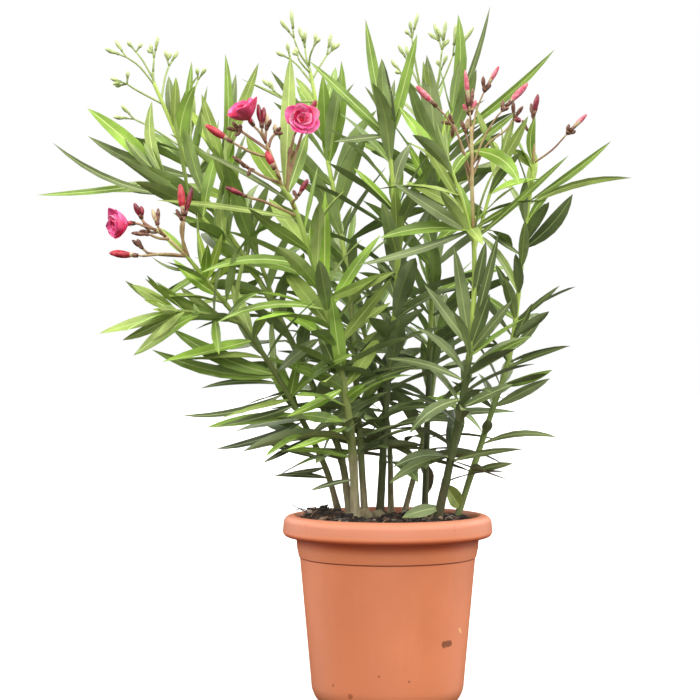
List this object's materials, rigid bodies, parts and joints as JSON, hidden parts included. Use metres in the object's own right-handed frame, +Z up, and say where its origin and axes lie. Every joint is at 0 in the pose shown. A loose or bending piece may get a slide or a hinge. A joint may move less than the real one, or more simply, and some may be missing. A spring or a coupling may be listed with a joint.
{
  "type": "potted oleander",
  "caption": "Bushy potted oleander with whorled lance-shaped leaves, pink and green flower heads and a round rimmed pot.",
  "frame": {"origin": "centre of the pot's flat underside, where it stands", "axes": "+Z up through the pot and the crown; -Y towards the front, from which +X is to the right"},
  "size_m": [0.6828, 0.41, 0.8168],
  "materials": {
    "pot": "satin",
    "soil": "rough",
    "stem": "rough",
    "foliage": "satin"
  },
  "bodies": {
    "root": {"pot": "pot", "soil": "soil", "stem_left_front": "stem", "stem_left_back": "stem", "stem_front": "stem", "stem_back": "stem", "stem_centre": "stem", "stem_right_back": "stem", "stem_right_front": "stem", "stem_far_right": "stem", "stem_rear_left": "stem", "stem_rear_right": "stem", "foliage_left_front": "foliage", "foliage_left_low": "foliage", "foliage_left_back": "foliage", "foliage_left_arm": "foliage", "foliage_left_inner": "foliage", "foliage_front": "foliage", "foliage_back": "foliage", "foliage_centre": "foliage", "foliage_right_back": "foliage", "foliage_right_spur": "foliage", "foliage_right_front": "foliage", "foliage_right_inner": "foliage", "foliage_right_outer": "foliage", "foliage_far_right": "foliage", "foliage_rear_left": "foliage", "foliage_rear_right": "foliage"}
  },
  "joints": []
}
